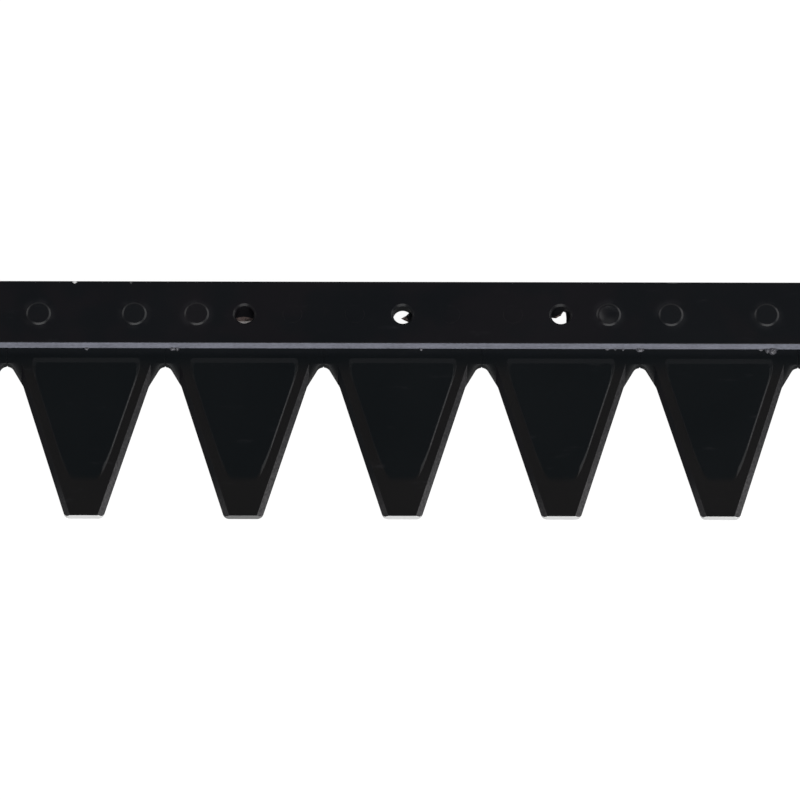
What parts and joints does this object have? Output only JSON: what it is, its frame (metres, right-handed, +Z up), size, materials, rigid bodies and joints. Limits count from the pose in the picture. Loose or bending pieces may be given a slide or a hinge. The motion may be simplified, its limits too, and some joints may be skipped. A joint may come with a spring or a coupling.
{
  "type": "sickle bar mower knife",
  "caption": "Flat knife back with tapered, bevelled blade sections riveted side by side under it and open bolt holes for a drive head, in black enamel.",
  "frame": {"origin": "axis of the middle drive head bolt hole, on the underside of the sections", "axes": "+X along the knife back, +Y from the blade tips towards the back, +Z up through the knife back"},
  "size_m": [0.63, 0.1104, 0.01],
  "materials": {
    "bar_enamel": "gloss",
    "section_enamel": "gloss",
    "rivet_enamel": "gloss"
  },
  "bodies": {
    "root": {"knife_back": "bar_enamel", "section_01": "section_enamel", "section_02": "section_enamel", "section_03": "section_enamel", "section_04": "section_enamel", "section_05": "section_enamel", "section_06": "section_enamel", "section_07": "section_enamel", "section_08": "section_enamel", "section_09": "section_enamel", "section_rivets": "rivet_enamel", "flush_rivets": "rivet_enamel"}
  },
  "joints": []
}
